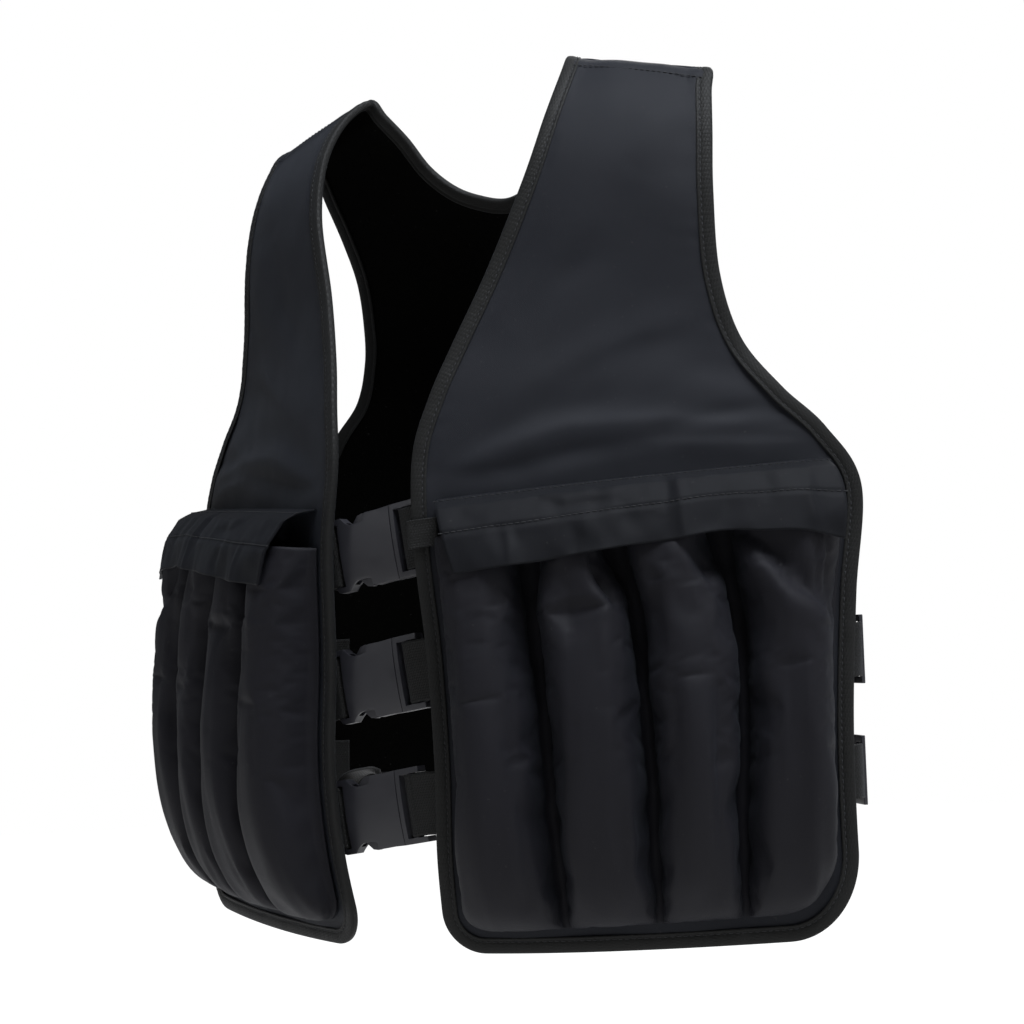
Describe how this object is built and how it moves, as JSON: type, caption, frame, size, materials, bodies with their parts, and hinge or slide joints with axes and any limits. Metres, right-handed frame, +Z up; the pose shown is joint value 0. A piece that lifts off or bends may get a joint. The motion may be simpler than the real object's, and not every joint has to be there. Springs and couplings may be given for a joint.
{
  "type": "weighted vest",
  "caption": "Sleeveless fitness vest in its worn form, with weight cells under flaps on both fronts, fastened by side-release buckles on webbing and joined at the sides by adjustable straps.",
  "frame": {"origin": "the point between the two shoulder seams, level with their inner ends, where the vest sits on the shoulders", "axes": "+X to the wearer's left, +Y to the wearer's back, +Z up"},
  "size_m": [0.541, 0.2522, 0.5588],
  "materials": {
    "panel_cloth": "padded black woven cloth, faint sheen",
    "pocket_cloth": "black woven cloth",
    "flap_cloth": "stiff black woven cloth",
    "binding_tape": "dull ribbed edge tape",
    "webbing": "coarse woven webbing",
    "buckle_plastic": "satin moulded plastic"
  },
  "bodies": {
    "root": {"front_panel_left": "panel_cloth", "front_panel_right": "panel_cloth", "back_panel": "panel_cloth", "front_binding_left": "binding_tape", "front_binding_right": "binding_tape", "back_neck_binding": "binding_tape", "back_binding": "binding_tape", "weight_pocket_left": "pocket_cloth", "weight_pocket_right": "pocket_cloth", "pocket_flap_left": "flap_cloth", "pocket_flap_right": "flap_cloth", "buckle_socket_1": "buckle_plastic", "buckle_plug_1": "buckle_plastic", "front_strap_right_1": "webbing", "front_strap_left_1": "webbing", "buckle_socket_2": "buckle_plastic", "buckle_plug_2": "buckle_plastic", "front_strap_right_2": "webbing", "front_strap_left_2": "webbing", "buckle_socket_3": "buckle_plastic", "buckle_plug_3": "buckle_plastic", "front_strap_right_3": "webbing", "front_strap_left_3": "webbing", "side_strap_left_1": "webbing", "side_slider_left_1": "buckle_plastic", "side_strap_left_2": "webbing", "side_slider_left_2": "buckle_plastic", "side_strap_right_1": "webbing", "side_slider_right_1": "buckle_plastic", "side_strap_right_2": "webbing", "side_slider_right_2": "buckle_plastic", "edge_tab": "webbing"}
  },
  "joints": []
}
